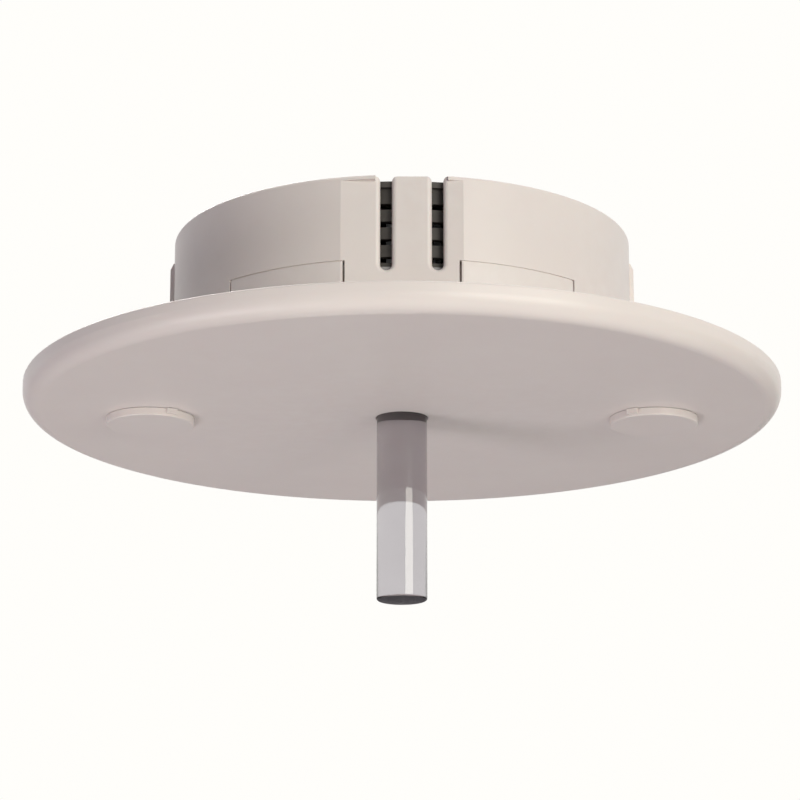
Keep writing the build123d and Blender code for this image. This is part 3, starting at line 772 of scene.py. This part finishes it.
@dataclass
class Seal:
    """The foam ring under the ceiling, slightly crowned."""

    width: float = 7.0
    crown: float = 0.25
    fullness: int = 4
    steps: int = 160
    skin: int = 8

    def build(self) -> bpy.types.Object:
        """Turns the foam ring inside its channel.

        Returns:
            The ring, which stands for the CAD one.
        """
        low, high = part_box("ceiling_seal")
        outer = high.x / MM
        inner = outer - self.width
        bottom, top = low.z / MM, high.z / MM
        middle, half = (outer + inner) / 2, (outer - inner) / 2
        arch = []
        for n in range(self.skin + 1):
            across = 1 - 2 * n / self.skin
            arch.append((middle + half * across, top - self.crown * across**self.fullness))
        loop = [(inner, bottom), (outer, bottom), *arch, (inner, bottom)]
        ring = piece("foam_seal", turned(loop, self.steps, Vector()), "plate")
        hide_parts("ceiling_seal")
        sharp_edges(ring, CRISP_ANGLE)
        return ring

    def dress(self, ring: bpy.types.Object, paint: Paint) -> None:
        """Gives the ring its foam.

        Args:
            ring: The ring.
            paint: What makes the materials.
        """
        ring.data.materials.append(paint.material(FOAM))


@dataclass
class ClampScrew:
    """A clamp screw with its thread cut, and the head that the frame gives it."""

    major: float = 1.98
    minor: float = 1.68
    pitch: float = 0.7
    crest: float = 0.10
    steps: int = 28
    plain_length: float = 3.4
    tip: float = 0.8

    def build(self, side: str) -> bpy.types.Object:
        """Cuts the frame's screw below its head and turns the threaded rest.

        Args:
            side: left or right.

        Returns:
            The screw, which stands for the plain one.
        """
        node = f"clamp_screw_{side}"
        low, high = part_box(node)
        cut = low.z / MM + self.plain_length
        centre = Vector(((low.x + high.x) / 2, (low.y + high.y) / 2, 0.0))
        mesh = turned(self.thread(cut, high.z / MM), self.steps, centre)
        head = bmesh.new()
        head.from_mesh(bpy.data.objects[node].data)
        bmesh.ops.remove_doubles(head, verts=head.verts, dist=MERGE)
        bmesh.ops.bisect_plane(
            head, geom=[*head.verts, *head.edges, *head.faces], plane_co=(0, 0, cut * MM),
            plane_no=(0, 0, 1), clear_outer=True,
        )
        rim = [edge for edge in head.edges if edge.is_boundary]
        bmesh.ops.edgeloop_fill(head, edges=rim)
        spare = bpy.data.meshes.new("spare")
        head.to_mesh(spare)
        head.free()
        mesh.from_mesh(spare)
        bpy.data.meshes.remove(spare)
        screw = piece(f"threaded_screw_{side}", mesh, f"screw_{side}")
        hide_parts(node)
        sharp_edges(screw, THREAD_CRISP_ANGLE)
        return screw

    def thread(self, low: float, high: float) -> Outline:
        """Gives the outline of the threaded length.

        Args:
            low: Where it starts, in millimetres.
            high: The screw's tip.

        Returns:
            The outline from the axis at low to the axis at high.
        """
        outline = [(0.0, low), (self.major, low)]
        z = low + self.crest
        while z + self.pitch < high - self.tip:
            outline.append((self.major, z))
            outline.append((self.minor, z + self.pitch / 2))
            z += self.pitch
            outline.append((self.major, z - self.crest))
        point = [(self.minor, high - self.tip), (self.minor - self.tip / 2, high), (0.0, high)]
        return outline + point

    def dress(self, screw: bpy.types.Object, paint: Paint) -> None:
        """Gives the screw its zinc.

        Args:
            screw: The screw.
            paint: What makes the materials.
        """
        screw.data.materials.append(paint.material(ZINC))


@dataclass
class Spring:
    """The coil spring that the light guide shortens when it is pushed up."""

    wire: float = 0.3
    turns: int = 4
    steps: int = 192
    sides: int = 14

    def build(self) -> bpy.types.Object:
        """Winds the coil in the frame's place for it, between the collar and the board.

        Returns:
            The spring, attached to no body.
        """
        low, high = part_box("return_spring")
        wire = self.wire * MM
        rise = high.z - low.z - 2 * wire
        start = Vector((high.x - wire, 0.0, low.z + wire))
        coil = bmesh.new()
        bmesh.ops.create_circle(
            coil, cap_ends=True, segments=self.sides, radius=wire,
            matrix=Matrix.Translation(start) @ Matrix.Rotation(radians(90), 4, "X"),
        )
        bmesh.ops.spin(
            coil, geom=[*coil.verts, *coil.edges, *coil.faces], cent=(0, 0, 0), axis=(0, 0, 1),
            dvec=(0, 0, rise / self.steps), angle=tau * self.turns, steps=self.steps,
        )
        bmesh.ops.holes_fill(coil, edges=coil.edges, sides=0)
        spring = piece("wound_spring", coil, None)
        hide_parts("return_spring")
        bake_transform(spring)
        sharp_edges(spring, CRISP_ANGLE)
        return spring

    def dress(self, spring: bpy.types.Object, paint: Paint) -> None:
        """Gives the spring its steel.

        Args:
            spring: The spring.
            paint: What makes the materials.
        """
        spring.data.materials.append(paint.material(SPRING))


@dataclass
class Plain:
    """The CAD pieces that keep their shape and take a finish."""

    finishes: dict[Finish, tuple[str, ...]] = field(
        default_factory=lambda: {
            IVORY: ("ceiling_plate", "base_housing", "screw_cap_left", "screw_cap_right"),
            LID: ("top_cover",),
            CHARCOAL: (
                "inlet_grille", "guide_cup", "guide_collar", "chamber_base", "chamber_labyrinth",
            ),
            GREY: ("head_chassis", "switch_plunger"),
            BLOCK: ("terminal_block_left", "terminal_block_right"),
            CHIP: ("controller_chip", "chip_resistors", "test_switch"),
            EPOXY_RED: ("indicator_led",),
            EPOXY_DARK: ("infrared_emitter", "photodiode"),
            ZINC: (
                "base_screws", "board_screws", "guide_screws", "terminal_screws",
                "clamp_arm_left", "clamp_arm_right",
            ),
            SPRING: ("clamp_retainer_left", "clamp_retainer_right"),
            SCREEN: ("insect_screen",),
            BRASS: (
                "clamp_nut_left", "clamp_nut_right", "terminal_clamps", "contact_springs",
                "contact_blades",
            ),
            CAN: ("capacitor",),
            LAMINATE: ("circuit_board",),
        }
    )

    def dress(self, nodes: dict[str, bpy.types.Object], paint: Paint) -> None:
        """Puts a finish on every node that keeps its CAD shape.

        Args:
            nodes: The CAD objects by name.
            paint: What makes the materials.
        """
        for finish, names in self.finishes.items():
            for name in names:
                assign(nodes[name], paint.material(finish))
                LOG.info("%s: %s", name, finish.name)
        assign(nodes["receiver_lens"], paint.clear("lens acrylic", LENS_TINT, LENS_ROUGHNESS))


def assign(made: bpy.types.Object, material: bpy.types.Material) -> None:
    """Puts one material in every slot of an object.

    Args:
        made: The object.
        material: The material.
    """
    if not made.material_slots:
        made.data.materials.append(material)
    for place in made.material_slots:
        place.material = material


# ------------------------------------------------------------------ studio


@dataclass
class Lamp:
    """One soft lamp that faces the detector."""

    name: str
    place: Point
    size: float
    watts: float
    colour: Colour = (1.0, 0.97, 0.94)

    def build(self) -> None:
        """Makes the lamp and turns it to the detector."""
        data = bpy.data.lights.new(self.name, "AREA")
        data.shape = "DISK"
        data.size = self.size
        data.energy = self.watts
        data.color = self.colour
        lamp = bpy.data.objects.new(self.name, data)
        lamp.location = self.place
        lamp.rotation_euler = (-Vector(self.place)).to_track_quat("-Z", "Y").to_euler()
        bpy.context.scene.collection.objects.link(lamp)


@dataclass
class Studio:
    """Floor, light and camera."""

    floor_below: float = 0.9
    floor_size: float = 40.0
    distance: float = 0.72
    elevation: float = 15.15
    aim: Point = (-0.00046, 0.0, -0.00180)
    focal_length: float = 135.6
    clip_start: float = 0.01
    backdrop: Colour = (1.0, 0.99, 0.96)
    floor_colour: Colour = (0.90, 0.89, 0.87)
    floor_roughness: float = 0.9
    fill_colour: Colour = (0.95, 0.86, 1.0)
    fill: float = 0.18
    lamps: tuple[Lamp, ...] = (
        Lamp("key", (0.73, -1.15, 0.02), 0.9, 13.3, (1.0, 0.985, 0.885)),
        Lamp("low left", (-0.62, -0.32, -0.62), 0.45, 2.1, (1.0, 0.94, 0.97)),
        Lamp("back", (-0.5, 1.0, 1.1), 0.7, 9.0),
        Lamp("top", (0.3, 0.1, 1.3), 0.8, 6.0),
    )

    def build(self) -> None:
        """Makes the floor, the lamps, the world and the camera."""
        self.build_floor()
        for lamp in self.lamps:
            lamp.build()
        self.build_world()
        self.build_camera()
        bpy.context.scene.view_settings.view_transform = "Standard"

    def build_floor(self) -> None:
        """Makes the pale floor, which catches a shadow and shows as the backdrop."""
        mesh = bmesh.new()
        bmesh.ops.create_grid(mesh, x_segments=1, y_segments=1, size=self.floor_size)
        bmesh.ops.translate(mesh, verts=mesh.verts, vec=(0, 0, -self.floor_below))
        data = bpy.data.meshes.new("floor")
        mesh.to_mesh(data)
        mesh.free()
        floor = bpy.data.objects.new("floor", data)
        bpy.context.scene.collection.objects.link(floor)
        material, _, shader = new_material("floor paint")
        shader.inputs["Base Color"].default_value = (*self.floor_colour, 1.0)
        shader.inputs["Roughness"].default_value = self.floor_roughness
        data.materials.append(material)

    def build_world(self) -> None:
        """Makes a world that shows white and lights the detector softly."""
        world = bpy.data.worlds.new("studio")
        world.use_nodes = True
        tree = world.node_tree
        path = tree.nodes.new("ShaderNodeLightPath")
        seen = maths(tree, "MAXIMUM", path.outputs["Is Camera Ray"], path.outputs["Is Glossy Ray"])
        seen = maths(tree, "MAXIMUM", seen, path.outputs["Is Transmission Ray"])
        light = tree.nodes["Background"]
        light.inputs["Color"].default_value = (*self.fill_colour, 1.0)
        light.inputs["Strength"].default_value = self.fill
        white = tree.nodes.new("ShaderNodeBackground")
        white.inputs["Color"].default_value = (*self.backdrop, 1.0)
        choose = tree.nodes.new("ShaderNodeMixShader")
        tree.links.new(seen, choose.inputs[0])
        tree.links.new(light.outputs[0], choose.inputs[1])
        tree.links.new(white.outputs[0], choose.inputs[2])
        tree.links.new(choose.outputs[0], tree.nodes["World Output"].inputs["Surface"])
        bpy.context.scene.world = world

    def build_camera(self) -> None:
        """Sets the camera below the plate's level, looking up at it."""
        data = bpy.data.cameras.new("camera")
        data.lens = self.focal_length
        data.clip_start = self.clip_start
        camera = bpy.data.objects.new("camera", data)
        lift = radians(self.elevation)
        forward = Vector((0.0, cos(lift), sin(lift)))
        turn = Matrix.Rotation(radians(90) + lift, 4, "X")
        camera.matrix_world = Matrix.Translation(Vector(self.aim) - forward * self.distance) @ turn
        bpy.context.scene.collection.objects.link(camera)
        bpy.context.scene.camera = camera


def main(frame: dict) -> None:
    """Builds and dresses every piece, then sets the studio.
    """
    paint = Paint(Effects())
    Plain().dress(frame["nodes"], paint)
    guide = Guide()
    guide.dress(guide.build(), paint)
    seal = Seal()
    seal.dress(seal.build(), paint)
    spring = Spring()
    spring.dress(spring.build(), paint)
    screw = ClampScrew()
    for side in SIDES:
        screw.dress(screw.build(side), paint)
    Studio().build()


if __name__ == "__main__":
    logging.basicConfig(level=logging.INFO, format="%(name)s: %(message)s")
    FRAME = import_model()
    main(FRAME)
